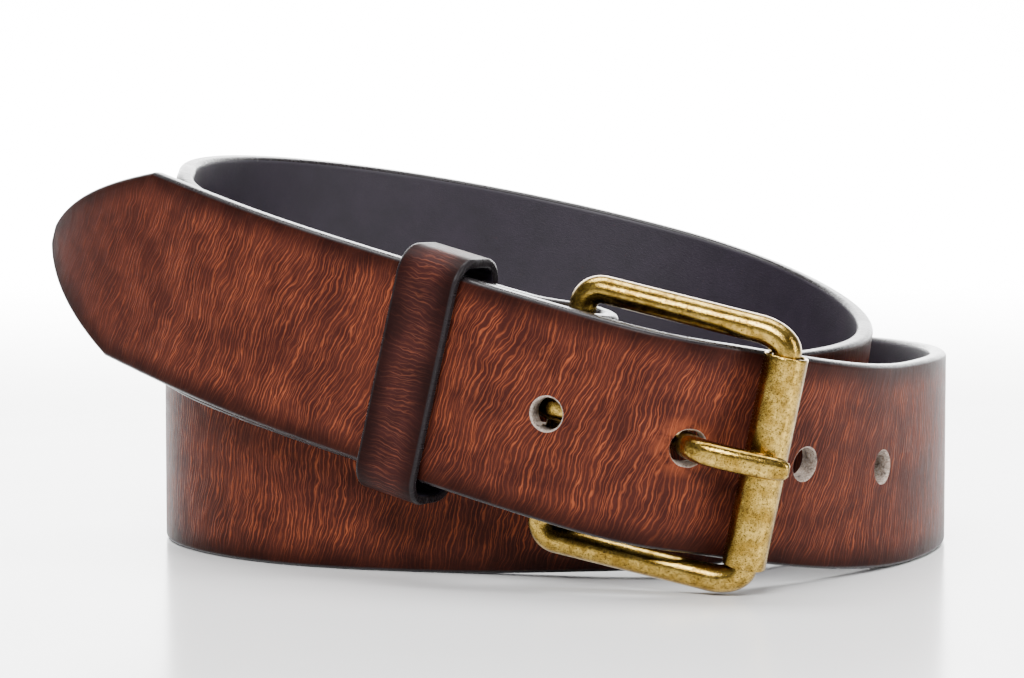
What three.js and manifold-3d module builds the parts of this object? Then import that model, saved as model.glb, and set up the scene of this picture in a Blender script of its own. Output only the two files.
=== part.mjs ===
// Gentleman's leather belt, buckled through its middle hole and coiled a little over two turns.
// Millimetres, +Z up. The origin is the middle of the coil's footprint on the surface it stands on.
import * as THREE from "three";
import Module from "manifold-3d";

const wasm = await Module();
wasm.setup();

// ---- leather ----
const STRAP_WIDTH = 38;
const STRAP_THICK = 3.3;
const EDGE_ROUND = 1.1;
const TIP_LENGTH = 32;
const TIP_POWER = 0.55;
// The tip is cut a little askew: its shoulders, and its nose.
const TIP_SKEW = 0.12;
const TIP_SKEW_FADE = 22;
const TIP_LEAN = 0.05;
const HOLE_DIA = 5.8;
const HOLE_PITCH = 25.4;
const HOLE_COUNT = 5;
const TIP_TO_FIRST_HOLE = 108.7;
const PRONG_HOLE = 2;
const LAYER_GAP = 0.35;
const TAIL_LENGTH = 54;
const TAIL_THICK = 1.7;
const TAIL_SKIVE_START = 22;
const TAIL_CLOSE = 10;

// ---- brass ----
const WIRE_R = 2.5;
const FOLD_R = WIRE_R + 0.65 + STRAP_THICK / 2;
const FRAME_LENGTH = 37.8;
const HEEL_HALF = 23;
const FRONT_HALF = 22.6;
const HEEL_CORNER = 3.4;
const FRONT_CORNER = 3.2;
const FRONT_SWEEP = 6;
const ROLLER_R = 3.9;
const ROLLER_WALL = 0.7;
const ROLLER_CLEAR = 0.65;
const ROLLER_LENGTH = 38.4;
const PRONG_WIDTH = 4.4;
const PRONG_HIGH = 0.6;
const PRONG_LEAN = 0.018;
const SLOT_HALF = 3.7;
const EYE_R = 4.3;
const EYE_THICK = 2.9;
const EYE_START = THREE.MathUtils.degToRad(335);
const EYE_END = THREE.MathUtils.degToRad(90);
const PRONG_THICK = 4;
// Centre line of the shank, [along, outwards] from the heel bar: under the strap, up through
// the hole, and over the roller.
const SHANK = [
  [0, 4.3], [7, 3.9], [14, 2.3], [18.8, 1], [21.3, 1.3], [23.5, 3.5],
  [25.4, 6.2], [28.5, 8], [33, 7.8], [37.8, 6.5], [43.3, 4.9],
];
const PRONG_HOLE_DIA = 6.2;
const PRONG_HOLE_STRETCH = 0.6;

// ---- keeper and rivets, by distance back from the heel bar ----
const KEEPER_BACK = 26.3;
const KEEPER_WIDTH = 12.5;
const KEEPER_THICK = 1.8;
const KEEPER_PLAY = 0.8;
const KEEPER_STAND = 2.1;
const KEEPER_BEND = 4.6;
const KEEPER_DROP = 0.6;
const RIVET_BACK = [12.6, 40.2];
const RIVET_HEAD_DIA = 7;
const RIVET_SINK = 1.2;
const RIVET_HEAD_THICK = 0.85;
const RIVET_POST_DIA = 3;
const RIVET_CAP_DIA = 7.2;
const RIVET_CAP_HIGH = 1.7;
const FIT = 0.3;
const STAPLE_SPAN = 6;
const STAPLE_WIRE = 0.9;

// ---- how the coil lies ----
// Plan of the strap: turn angle in degrees from the tip inwards, radius from the coil's middle.
const PLAN = [
  [175, 102.5], [195, 83], [210, 75], [225, 70], [240, 68], [255, 70.3],
  [262, 72.6], [269, 75.8], [278, 79.8], [287, 79.4], [305, 74.8],
  [325, 71.4], [345, 72], [368, 75], [405, 76], [450, 77], [495, 81],
  [525, 81], [540, 78.5], [555, 73], [570, 66], [585, 58.5], [600, 52.5],
  [615, 50.5], [630, 52], [645, 55.5], [660, 56.5], [690, 56.5], [720, 56.5],
  [750, 60], [765, 62.5], [810, 67.5], [855, 73], [885, 78], [900, 79],
  [915, 77], [930, 71],
];
const TIP_ANGLE = PLAN[0][0];
const TURN = 360;
// The upper turn leans on the lower one: its plane rises to the left and to the back.
const UPPER_HEIGHT = 39.5;
const RISE_LEFT = 0.215;
const RISE_BACK = 0.11;
const LEVEL_FROM = 285;
const LEVEL_TO = 335;
const CLIMB_FROM = 600;
const CLIMB_TO = 790;
// The last of the upper turn is laid against the inside of the tip.
const LAY_FROM = 903;
const LAY_TO = 928;
// The buckle end hangs a little low at the heel bar, and more so further back.
const HEEL_DROP = 0.75;
const LAY_FALL = 0.012;
// The buckle has turned a little on its fold, in its own plane.
const BUCKLE_TURN = THREE.MathUtils.degToRad(0.8);
const HEEL_ANGLE = 265.7;
const STATION_STEP = 3;
// Middle of the finished belt's footprint, measured from the coil's middle.
const MIDDLE_X = -13.8;
const MIDDLE_Y = -3.6;

const LEATHER = { color: 0x4a2018, roughness: 0.45, metalness: 0 };
const KEEPER_LEATHER = { color: 0x553020, roughness: 0.5, metalness: 0 };
const BRASS = { color: 0x8a7440, roughness: 0.35, metalness: 1 };

function smooth(x) {
  const t = Math.min(1, Math.max(0, x));
  return t * t * (3 - 2 * t);
}

// Natural cubic spline through [x, y] pairs.
function naturalSpline(pairs) {
  const n = pairs.length;
  const gap = (i) => pairs[i + 1][0] - pairs[i][0];
  const slope = (i) => (pairs[i + 1][1] - pairs[i][1]) / gap(i);
  const bend = new Array(n).fill(0);
  const ratio = new Array(n).fill(0);
  for (let i = 1; i < n - 1; i++) {
    const pivot = 2 * (gap(i - 1) + gap(i)) - gap(i - 1) * ratio[i - 1];
    ratio[i] = gap(i) / pivot;
    bend[i] = (6 * (slope(i) - slope(i - 1)) - gap(i - 1) * bend[i - 1]) / pivot;
  }
  for (let i = n - 2; i > 0; i--) bend[i] -= ratio[i] * bend[i + 1];
  return (x) => {
    let i = 0;
    while (i < n - 2 && x > pairs[i + 1][0]) i++;
    const h = gap(i);
    const a = (pairs[i + 1][0] - x) / h;
    const b = 1 - a;
    const curve = ((a ** 3 - a) * bend[i] + (b ** 3 - b) * bend[i + 1]) * h * h / 6;
    return a * pairs[i][1] + b * pairs[i + 1][1] + curve;
  };
}
const radiusAt = naturalSpline(PLAN);

function upperShare(angle) {
  const leaving = 1 - smooth((angle - LEVEL_FROM) / (LEVEL_TO - LEVEL_FROM));
  const climbing = smooth((angle - CLIMB_FROM) / (CLIMB_TO - CLIMB_FROM));
  return leaving + climbing;
}

function freePoint(angle) {
  const turn = THREE.MathUtils.degToRad(angle);
  const x = radiusAt(angle) * Math.cos(turn);
  const y = radiusAt(angle) * Math.sin(turn);
  const plane = UPPER_HEIGHT - RISE_LEFT * x + RISE_BACK * y;
  const level = STRAP_WIDTH / 2;
  return new THREE.Vector3(x, y, level + upperShare(angle) * (plane - level));
}

// Frame of the strap at an angle: centre p, direction t, across g (up), grain side n (outwards).
function frameFrom(pointAt, angle, share) {
  const t = pointAt(angle + 0.2).sub(pointAt(angle - 0.2)).normalize();
  const lean = new THREE.Vector3(RISE_LEFT * share, -RISE_BACK * share, 1);
  const g = lean.addScaledVector(t, -lean.dot(t)).normalize();
  return { p: pointAt(angle), t, g, n: t.clone().cross(g) };
}
const freeFrame = (angle) => frameFrom(freePoint, angle, upperShare(angle));

function laidPoint(angle) {
  const outer = freeFrame(angle - 2 * TURN);
  const back = lengthAt(HEEL_ANGLE) - lengthAt(angle - 2 * TURN);
  return outer.p.addScaledVector(outer.n, -(STRAP_THICK + LAYER_GAP))
    .addScaledVector(outer.g, -LAY_FALL * back - HEEL_DROP);
}

function strapPoint(angle) {
  const share = smooth((angle - LAY_FROM) / (LAY_TO - LAY_FROM));
  if (share === 0) return freePoint(angle);
  if (share === 1) return laidPoint(angle);
  return freePoint(angle).lerp(laidPoint(angle), share);
}
const strapFrame = (angle) => frameFrom(strapPoint, angle, upperShare(angle));

// Distance along the strap from the tip, at every half degree of the outer turn.
const OUTER = [];
for (let angle = TIP_ANGLE, s = 0; angle <= TIP_ANGLE + TURN; angle += 0.5) {
  if (OUTER.length) s += strapPoint(angle).distanceTo(strapPoint(angle - 0.5));
  OUTER.push({ angle, s });
}
function angleAt(s) {
  const i = OUTER.findIndex((o) => o.s >= s);
  const part = (s - OUTER[i - 1].s) / (OUTER[i].s - OUTER[i - 1].s);
  return OUTER[i - 1].angle + 0.5 * part;
}
function lengthAt(angle) {
  const i = Math.floor((angle - TIP_ANGLE) / 0.5);
  const part = (angle - OUTER[i].angle) / 0.5;
  return OUTER[i].s + part * (OUTER[i + 1].s - OUTER[i].s);
}

const HEEL_S = lengthAt(HEEL_ANGLE);
const heelFrame = strapFrame(HEEL_ANGLE + 2 * TURN);
const heel = heelFrame.p.clone().addScaledVector(heelFrame.n, -FOLD_R);

// The buckle end's frame at a distance back from the heel bar.
const buckleEnd = (back) => strapFrame(angleAt(HEEL_S - back) + 2 * TURN);

// The buckle's own axes: u from heel bar to front bar, v along the bars, w outwards.
// The front bar lies on the strap's face, a roller's radius out.
function findFrontBar() {
  let best = null;
  for (let angle = HEEL_ANGLE + 10; angle < HEEL_ANGLE + 45; angle += 0.1) {
    const f = freeFrame(angle);
    const stand = STRAP_THICK / 2 + ROLLER_CLEAR + ROLLER_R;
    const p = f.p.clone().addScaledVector(f.n, stand);
    const off = p.sub(heel);
    off.addScaledVector(heelFrame.g, -off.dot(heelFrame.g));
    const miss = Math.abs(off.length() - FRAME_LENGTH);
    if (!best || miss < best.miss) best = { miss, off, angle };
  }
  return best;
}
const front = findFrontBar();
const squareU = front.off.clone().normalize();
const Wd = squareU.clone().cross(heelFrame.g);
const U = squareU.applyAxisAngle(Wd, BUCKLE_TURN);
const V = Wd.clone().cross(U);
const buckle = new THREE.Matrix4().makeBasis(U, V, Wd).setPosition(heel);

// ---- solids ----

// A closed body through rings of points; the loop closes on itself or has flat ends.
function loft(rings, loop = false) {
  const count = rings[0].length;
  const points = rings.flat();
  const faces = [];
  const last = loop ? rings.length : rings.length - 1;
  for (let i = 0; i < last; i++) {
    const a = i * count;
    const b = ((i + 1) % rings.length) * count;
    for (let k = 0; k < count; k++) {
      const m = (k + 1) % count;
      faces.push(a + k, b + m, b + k, a + k, a + m, b + m);
    }
  }
  if (!loop) {
    const end = (rings.length - 1) * count;
    for (let k = 1; k < count - 1; k++) {
      faces.push(0, k + 1, k);
      faces.push(end, end + k, end + k + 1);
    }
  }
  let volume = 0;
  for (let i = 0; i < faces.length; i += 3) {
    const [a, b, c] = [points[faces[i]], points[faces[i + 1]], points[faces[i + 2]]];
    volume += a.clone().cross(b).dot(c);
  }
  if (volume < 0) faces.reverse();
  const geometry = new THREE.BufferGeometry().setFromPoints(points);
  geometry.setIndex(faces);
  return geometry;
}

function toSolid(geometry) {
  const made = new wasm.Manifold(new wasm.Mesh({
    numProp: 3,
    vertProperties: Float32Array.from(geometry.attributes.position.array),
    triVerts: Uint32Array.from(geometry.index.array),
  }));
  return made;
}

function toGeometry(solid) {
  const mesh = solid.getMesh();
  const geometry = new THREE.BufferGeometry();
  geometry.setAttribute("position", new THREE.BufferAttribute(mesh.vertProperties, 3));
  geometry.setIndex(new THREE.BufferAttribute(mesh.triVerts, 1));
  return geometry;
}

// Rounded rectangle in a plane, as [across, out] pairs, counter-clockwise.
function roundedSection(halfWide, halfThick, corner, steps) {
  const r = Math.min(corner, halfWide * 0.9, halfThick * 0.9);
  const list = [];
  const corners = [[1, 1], [-1, 1], [-1, -1], [1, -1]];
  corners.forEach(([sx, sy], c) => {
    for (let k = 0; k <= steps; k++) {
      const turn = (c + k / steps) * Math.PI / 2;
      const x = sx * (halfWide - r) + r * Math.cos(turn);
      const y = sy * (halfThick - r) + r * Math.sin(turn);
      list.push([x, y]);
    }
  });
  return list;
}

function ringAt(frame, halfWide, halfThick, corner = EDGE_ROUND, steps = 2) {
  const section = roundedSection(halfWide, halfThick, corner, steps);
  return section.map(([v, m]) =>
    frame.p.clone().addScaledVector(frame.g, v).addScaledVector(frame.n, m));
}

function mesh(name, geometry, look) {
  const made = new THREE.Mesh(geometry, new THREE.MeshStandardMaterial(look));
  made.name = name;
  return made;
}

// Half the strap's width at a distance from the nose of the tip.
function halfWidthAt(s) {
  const share = Math.min(1, s / TIP_LENGTH) ** TIP_POWER;
  return Math.max(0.8, (STRAP_WIDTH / 2) * share);
}

// A ring of the tip, leaned and skewed as it is cut.
function tipRing(s) {
  const frame = strapFrame(s ? angleAt(s) : TIP_ANGLE);
  const skew = TIP_SKEW * (1 - smooth((s - TIP_LENGTH) / TIP_SKEW_FADE));
  frame.p.addScaledVector(frame.g, -TIP_LEAN * Math.max(0, TIP_LENGTH - s));
  frame.g.addScaledVector(frame.t, skew);
  return ringAt(frame, halfWidthAt(s), STRAP_THICK / 2);
}

function bodyRings() {
  const rings = [];
  const tipSteps = 14;
  for (let k = 0; k < tipSteps; k++) rings.push(tipRing(TIP_LENGTH * (k / tipSteps) ** 1.7));
  const fadeSteps = 6;
  for (let k = 0; k < fadeSteps; k++) {
    rings.push(tipRing(TIP_LENGTH + (TIP_SKEW_FADE * k) / fadeSteps));
  }
  const from = angleAt(TIP_LENGTH + TIP_SKEW_FADE);
  const to = HEEL_ANGLE + 2 * TURN;
  const steps = Math.round((to - from) / STATION_STEP);
  for (let k = 0; k <= steps; k++) {
    const frame = strapFrame(from + ((to - from) * k) / steps);
    rings.push(ringAt(frame, STRAP_WIDTH / 2, STRAP_THICK / 2));
  }
  return rings;
}

function foldRings() {
  const rings = [];
  const steps = 12;
  for (let k = 1; k <= steps; k++) {
    const turn = (k / steps) * Math.PI;
    const n = heelFrame.n.clone().multiplyScalar(Math.cos(turn))
      .addScaledVector(heelFrame.t, Math.sin(turn));
    const p = heel.clone().addScaledVector(n, FOLD_R);
    rings.push(ringAt({ p, g: heelFrame.g, n }, STRAP_WIDTH / 2, STRAP_THICK / 2));
  }
  return rings;
}

// Centre of the turned-back tail at a distance back from the heel bar, and its thickness.
function tailFrame(back) {
  const skive = smooth((back - TAIL_SKIVE_START) / (TAIL_LENGTH - TAIL_SKIVE_START));
  const thick = STRAP_THICK + (TAIL_THICK - STRAP_THICK) * skive;
  const closed = STRAP_THICK / 2 + LAYER_GAP + thick / 2;
  const apart = 2 * FOLD_R + (closed - 2 * FOLD_R) * smooth(back / TAIL_CLOSE);
  const base = buckleEnd(back);
  const p = base.p.clone().addScaledVector(base.n, -apart);
  return { p, t: base.t, g: base.g, n: base.n.clone().negate(), thick };
}

function tailRings() {
  const rings = [];
  const nearSteps = 9;
  const farSteps = 12;
  for (let k = 1; k <= nearSteps + farSteps; k++) {
    const beyond = Math.max(0, k - nearSteps) / farSteps;
    const near = Math.min(1, k / nearSteps);
    const back = TAIL_CLOSE * near + (TAIL_LENGTH - TAIL_CLOSE) * beyond;
    const frame = tailFrame(back);
    const rounding = 5 * smooth((back - TAIL_LENGTH + 8) / 8);
    rings.push(ringAt(frame, STRAP_WIDTH / 2 - rounding, frame.thick / 2));
  }
  return rings;
}

// A round punch along an axis, from one distance to another, stretched along a direction.
function punch(frame, dia, from, to, stretch = 0) {
  const steps = 20;
  const outline = [];
  for (let k = 0; k < steps; k++) {
    const turn = (k / steps) * 2 * Math.PI;
    const shift = Math.cos(turn) < 0 ? -stretch : 0;
    outline.push([(dia / 2) * Math.cos(turn) + shift, (dia / 2) * Math.sin(turn)]);
  }
  const ring = (depth) => outline.map(([a, b]) => frame.p.clone()
    .addScaledVector(frame.t, a)
    .addScaledVector(frame.g, b)
    .addScaledVector(frame.n, depth));
  return toSolid(loft([ring(from), ring(to)]));
}

// The cut in the fold that lets the prong's eye turn on the heel bar.
function prongSlot() {
  const half = SLOT_HALF;
  const reach = FOLD_R + STRAP_THICK / 2;
  const outer = reach + LAYER_GAP / 2;
  const frame = { p: heel, t: heelFrame.t, g: heelFrame.g, n: heelFrame.n };
  const corners = [[-8, -outer], [outer, -outer], [outer, outer], [-8, outer]];
  const ring = (v) => corners.map(([a, n]) => frame.p.clone()
    .addScaledVector(frame.t, a)
    .addScaledVector(frame.n, n)
    .addScaledVector(frame.g, v));
  return toSolid(loft([ring(half), ring(-half)]));
}

function holeFrame(index) {
  return freeFrame(angleAt(TIP_TO_FIRST_HOLE + HOLE_PITCH * index));
}

function makeStrap() {
  let solid = toSolid(loft([...bodyRings(), ...foldRings(), ...tailRings()]));
  const half = STRAP_THICK / 2;
  for (let k = 0; k < HOLE_COUNT; k++) {
    const worn = k === PRONG_HOLE;
    const dia = worn ? PRONG_HOLE_DIA : HOLE_DIA;
    const stretch = worn ? PRONG_HOLE_STRETCH : 0;
    const inward = worn ? -half - 2 : -half - LAYER_GAP / 2;
    solid = solid.subtract(punch(holeFrame(k), dia, inward, half + 1, stretch));
  }
  solid = solid.subtract(prongSlot());
  for (const back of RIVET_BACK) {
    const frame = buckleEnd(back);
    solid = solid.subtract(punch(frame, RIVET_HEAD_DIA + 2 * FIT, half - RIVET_SINK, half + 0.17));
    solid = solid.subtract(punch(frame, RIVET_POST_DIA + 2 * FIT, tailFace(back) - 1.5, half));
  }
  return solid;
}

// ---- buckle ----

// A point of the buckle's own axes in the part's frame.
const inBuckle = (u, v, w) => new THREE.Vector3(u, v, w).applyMatrix4(buckle);

// Centre line of the wire frame, [u, v], counter-clockwise seen from outside.
function frameOutline() {
  const list = [];
  const arc = (cu, cv, ru, rv, from) => {
    const steps = 6;
    for (let k = 0; k <= steps; k++) {
      const turn = from + ((k / steps) * Math.PI) / 2;
      list.push([cu + ru * Math.cos(turn), cv + rv * Math.sin(turn)]);
    }
  };
  const heelV = HEEL_HALF - HEEL_CORNER;
  const frontV = FRONT_HALF - FRONT_CORNER;
  arc(FRAME_LENGTH - FRONT_SWEEP, -frontV, FRONT_SWEEP, FRONT_CORNER, -Math.PI / 2);
  arc(FRAME_LENGTH - FRONT_SWEEP, frontV, FRONT_SWEEP, FRONT_CORNER, 0);
  arc(HEEL_CORNER, heelV, HEEL_CORNER, HEEL_CORNER, Math.PI / 2);
  arc(HEEL_CORNER, -heelV, HEEL_CORNER, HEEL_CORNER, Math.PI);
  return list;
}

function makeFrame() {
  const line = frameOutline();
  const sides = 16;
  const rings = line.map(([u, v], i) => {
    const [u0, v0] = line[(i + line.length - 1) % line.length];
    const [u1, v1] = line[(i + 1) % line.length];
    const along = new THREE.Vector2(u1 - u0, v1 - v0).normalize();
    const ring = [];
    for (let k = 0; k < sides; k++) {
      const turn = (k / sides) * 2 * Math.PI;
      const side = WIRE_R * Math.cos(turn);
      ring.push(inBuckle(u + along.y * side, v - along.x * side, WIRE_R * Math.sin(turn)));
    }
    return ring;
  });
  return loft(rings, true);
}

function makeRoller() {
  const sides = 28;
  const half = ROLLER_LENGTH / 2;
  const lip = 0.35;
  const inner = ROLLER_R - ROLLER_WALL;
  const profile = [
    [inner, -half], [ROLLER_R - lip, -half], [ROLLER_R, -half + lip],
    [ROLLER_R, half - lip], [ROLLER_R - lip, half], [inner, half],
  ];
  const rings = [];
  for (let k = 0; k < sides; k++) {
    const turn = (k / sides) * 2 * Math.PI;
    rings.push(profile.map(([r, v]) =>
      inBuckle(FRAME_LENGTH + r * Math.cos(turn), v, r * Math.sin(turn))));
  }
  return loft(rings, true);
}

// The prong: an eye bent round the heel bar, then the shank, as rings along its centre line.
function prongRings() {
  const stations = [];
  const eyeSteps = 16;
  for (let k = 0; k <= eyeSteps; k++) {
    const turn = EYE_START + ((EYE_END - EYE_START) * k) / eyeSteps;
    stations.push([EYE_R * Math.cos(turn), EYE_R * Math.sin(turn)]);
  }
  const curve = new THREE.SplineCurve(SHANK.map(([u, w]) => new THREE.Vector2(u, w)));
  const shankSteps = 26;
  for (let k = 1; k <= shankSteps; k++) {
    const at = curve.getPointAt(k / shankSteps);
    stations.push([at.x, at.y]);
  }
  const count = stations.length;
  return stations.map(([u, w], i) => {
    const before = stations[Math.max(0, i - 1)];
    const after = stations[Math.min(count - 1, i + 1)];
    const dir = new THREE.Vector2(after[0] - before[0], after[1] - before[1]).normalize();
    const share = smooth((i - eyeSteps) / 8);
    const end = smooth((count - 1 - i) / 3);
    const thick = (EYE_THICK + (PRONG_THICK - EYE_THICK) * share) * (0.55 + 0.45 * end);
    const wide = PRONG_WIDTH * (0.7 + 0.3 * end);
    const section = roundedSection(wide / 2, thick / 2, thick * 0.42, 3);
    // Level with the middle of its hole, the prong stands a little high, and leans.
    const high = PRONG_HIGH + PRONG_LEAN * (SHANK[5][0] - u);
    return section.map(([v, m]) => inBuckle(u - dir.y * m, high + v, w + dir.x * m));
  });
}

// ---- keeper ----

function keeperParts() {
  const base = freeFrame(angleAt(HEEL_S - KEEPER_BACK));
  base.p.addScaledVector(base.g, -KEEPER_DROP);
  const tail = tailFrame(KEEPER_BACK);
  const half = KEEPER_THICK / 2;
  const out = STRAP_THICK / 2 + KEEPER_PLAY + half;
  const depth = tail.p.clone().sub(base.p).dot(base.n) - tail.thick / 2;
  const inner = depth - KEEPER_PLAY - half;
  const middle = (out + inner) / 2;
  const halfN = (out - inner) / 2;
  const halfV = STRAP_WIDTH / 2 + KEEPER_STAND + half;
  return { base, inner, middle, halfN, halfV };
}

function makeKeeper() {
  const { base, middle, halfN, halfV } = keeperParts();
  const rings = [];
  const steps = 6;
  const corners = [[1, 1], [-1, 1], [-1, -1], [1, -1]];
  corners.forEach(([sv, sn], c) => {
    for (let k = 0; k <= steps; k++) {
      const turn = ((c + k / steps) * Math.PI) / 2;
      const v = sv * (halfV - KEEPER_BEND) + KEEPER_BEND * Math.cos(turn);
      const n = middle + sn * (halfN - KEEPER_BEND) + KEEPER_BEND * Math.sin(turn);
      const normal = base.g.clone().multiplyScalar(Math.cos(turn))
        .addScaledVector(base.n, Math.sin(turn));
      const p = base.p.clone().addScaledVector(base.g, v).addScaledVector(base.n, n);
      const ring = roundedSection(KEEPER_WIDTH / 2, KEEPER_THICK / 2, 0.6, 2);
      rings.push(ring.map(([a, m]) => p.clone()
        .addScaledVector(base.t, a).addScaledVector(normal, m)));
    }
  });
  return loft(rings, true);
}

function drilledKeeper() {
  const { base, inner } = keeperParts();
  let solid = toSolid(makeKeeper());
  for (const side of [-1, 1]) {
    const p = base.p.clone().addScaledVector(base.g, (side * STAPLE_SPAN) / 2);
    solid = solid.subtract(punch({ ...base, p }, STAPLE_WIRE + 2 * FIT, inner - 2, inner + 2));
  }
  return solid;
}

// The wire staple that closes the keeper's ends on its inner side.
function makeStaple() {
  const { base, inner } = keeperParts();
  const half = KEEPER_THICK / 2;
  const crown = inner - half - FIT - STAPLE_WIRE / 2;
  const line = [];
  const reach = STAPLE_SPAN / 2;
  const bend = 0.8;
  const steps = 4;
  for (const side of [-1, 1]) {
    const part = [[side * reach, inner + half - 0.1]];
    for (let k = 0; k <= steps; k++) {
      const turn = ((k / steps) * Math.PI) / 2;
      const v = reach - bend + bend * Math.cos(turn);
      part.push([side * v, crown + bend - bend * Math.sin(turn)]);
    }
    line.push(...(side < 0 ? part : part.reverse()));
  }
  const rings = line.map(([v, n], i) => {
    const [v0, n0] = line[Math.max(0, i - 1)];
    const [v1, n1] = line[Math.min(line.length - 1, i + 1)];
    const dir = new THREE.Vector2(v1 - v0, n1 - n0).normalize();
    const p = base.p.clone().addScaledVector(base.g, v).addScaledVector(base.n, n);
    const side = base.g.clone().multiplyScalar(-dir.y).addScaledVector(base.n, dir.x);
    const wire = roundedSection(STAPLE_WIRE / 2, STAPLE_WIRE / 2, 0.3, 1);
    return wire.map(([a, m]) => p.clone().addScaledVector(base.t, a).addScaledVector(side, m));
  });
  return loft(rings);
}

// ---- rivets ----

// A turned body: rings of the given [radius, distance outwards] about a frame's outward line.
function turned(frame, profile) {
  const sides = 24;
  return loft(profile.map(([r, n]) => {
    const ring = [];
    for (let k = 0; k < sides; k++) {
      const turn = (k / sides) * 2 * Math.PI;
      ring.push(frame.p.clone()
        .addScaledVector(frame.t, r * Math.cos(turn))
        .addScaledVector(frame.g, r * Math.sin(turn))
        .addScaledVector(frame.n, n));
    }
    return ring;
  }));
}

// Where the turned-back tail's inner face lies under a rivet, measured outwards.
function tailFace(back) {
  const frame = buckleEnd(back);
  const tail = tailFrame(back);
  return tail.p.clone().sub(frame.p).dot(frame.n) - tail.thick / 2;
}

function makeRivetPost(back) {
  const frame = buckleEnd(back);
  const floor = STRAP_THICK / 2 - RIVET_SINK + FIT;
  const end = tailFace(back) - FIT - RIVET_CAP_HIGH / 2;
  const post = RIVET_POST_DIA / 2;
  const head = RIVET_HEAD_DIA / 2;
  return turned(frame, [
    [post - 0.3, end], [post, end + 0.3], [post, floor], [head, floor],
    [head, floor + RIVET_HEAD_THICK - 0.3], [head - 0.5, floor + RIVET_HEAD_THICK],
  ]);
}

function makeRivetCap(back) {
  const frame = buckleEnd(back);
  const face = tailFace(back) - FIT;
  const r = RIVET_CAP_DIA / 2;
  const dome = turned(frame, [
    [r, face], [r, face - 0.5], [r - 0.6, face - 1.1],
    [r - 1.8, face - 1.5], [r - 3, face - RIVET_CAP_HIGH],
  ]);
  const depth = RIVET_CAP_HIGH / 2 + FIT;
  const socket = punch(frame, RIVET_POST_DIA + 2 * FIT, face - depth, face + 0.5);
  return toGeometry(toSolid(dome).subtract(socket));
}

const belt = new THREE.Group();
belt.position.set(-MIDDLE_X, -MIDDLE_Y, 0);
belt.name = "leather_belt";
belt.add(mesh("strap", toGeometry(makeStrap()), LEATHER));
belt.add(mesh("buckle_frame", makeFrame(), BRASS));
belt.add(mesh("roller", makeRoller(), BRASS));
belt.add(mesh("prong", loft(prongRings()), BRASS));
belt.add(mesh("keeper", toGeometry(drilledKeeper()), KEEPER_LEATHER));
belt.add(mesh("keeper_staple", makeStaple(), BRASS));
RIVET_BACK.forEach((back, i) => {
  belt.add(mesh(`rivet_${i + 1}_post`, makeRivetPost(back), BRASS));
  belt.add(mesh(`rivet_${i + 1}_cap`, makeRivetCap(back), BRASS));
});
export default belt;
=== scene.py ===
"""Gentleman's leather belt, buckled and coiled: the looks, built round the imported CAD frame."""
import math

import bpy
import numpy as np
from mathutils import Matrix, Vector


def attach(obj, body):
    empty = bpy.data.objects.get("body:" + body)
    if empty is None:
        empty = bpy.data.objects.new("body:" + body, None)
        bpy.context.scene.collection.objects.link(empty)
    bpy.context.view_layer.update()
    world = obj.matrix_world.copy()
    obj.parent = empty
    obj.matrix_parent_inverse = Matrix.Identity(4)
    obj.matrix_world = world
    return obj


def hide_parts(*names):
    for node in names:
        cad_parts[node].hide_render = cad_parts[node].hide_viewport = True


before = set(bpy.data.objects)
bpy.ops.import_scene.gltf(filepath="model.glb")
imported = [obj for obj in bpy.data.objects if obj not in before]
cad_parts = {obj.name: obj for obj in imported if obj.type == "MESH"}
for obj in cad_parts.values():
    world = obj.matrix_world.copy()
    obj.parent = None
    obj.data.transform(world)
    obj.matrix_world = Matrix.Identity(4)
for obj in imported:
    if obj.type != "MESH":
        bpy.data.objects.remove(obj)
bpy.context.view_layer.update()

# ---- dimensions in millimetres, as in the CAD ----
MM = 0.001
STRAP_WIDTH = 38
STRAP_THICK = 3.3
EDGE_ROUND = 1.1
TIP_LENGTH = 32
TIP_POWER = 0.55
TIP_SKEW = 0.12
TIP_SKEW_FADE = 22
TIP_LEAN = 0.05
HOLE_DIA = 5.8
HOLE_PITCH = 25.4
HOLE_COUNT = 5
TIP_TO_FIRST_HOLE = 108.7
PRONG_HOLE = 2
PRONG_HOLE_DIA = 6.2
PRONG_HOLE_STRETCH = 0.6
LAYER_GAP = 0.35
TAIL_LENGTH = 54
TAIL_THICK = 1.7
TAIL_SKIVE_START = 22
TAIL_CLOSE = 10
WIRE_R = 2.5
FOLD_R = WIRE_R + 0.65 + STRAP_THICK / 2
FRAME_LENGTH = 37.8
HEEL_HALF = 23
FRONT_HALF = 22.6
HEEL_CORNER = 3.4
FRONT_CORNER = 3.2
FRONT_SWEEP = 6
ROLLER_R = 3.9
ROLLER_WALL = 0.7
ROLLER_CLEAR = 0.65
ROLLER_LENGTH = 38.4
PRONG_WIDTH = 4.4
PRONG_HIGH = 0.6
PRONG_LEAN = 0.018
SLOT_HALF = 3.7
EYE_R = 4.3
EYE_THICK = 2.9
EYE_START = math.radians(335)
EYE_END = math.radians(90)
PRONG_THICK = 4
SHANK = [
    (0, 4.3), (7, 3.9), (14, 2.3), (18.8, 1), (21.3, 1.3), (23.5, 3.5),
    (25.4, 6.2), (28.5, 8), (33, 7.8), (37.8, 6.5), (43.3, 4.9),
]
KEEPER_BACK = 26.3
KEEPER_WIDTH = 12.5
KEEPER_THICK = 1.8
KEEPER_PLAY = 0.8
KEEPER_STAND = 2.1
KEEPER_DROP = 0.6
KEEPER_BEND = 4.6
RIVET_BACK = (12.6, 40.2)
RIVET_HEAD_DIA = 7
RIVET_SINK = 1.2
RIVET_POST_DIA = 3
RIVET_CAP_DIA = 7.2
RIVET_CAP_HIGH = 1.7
RIVET_CAP_RIM = 0.5
FIT = 0.3
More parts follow.
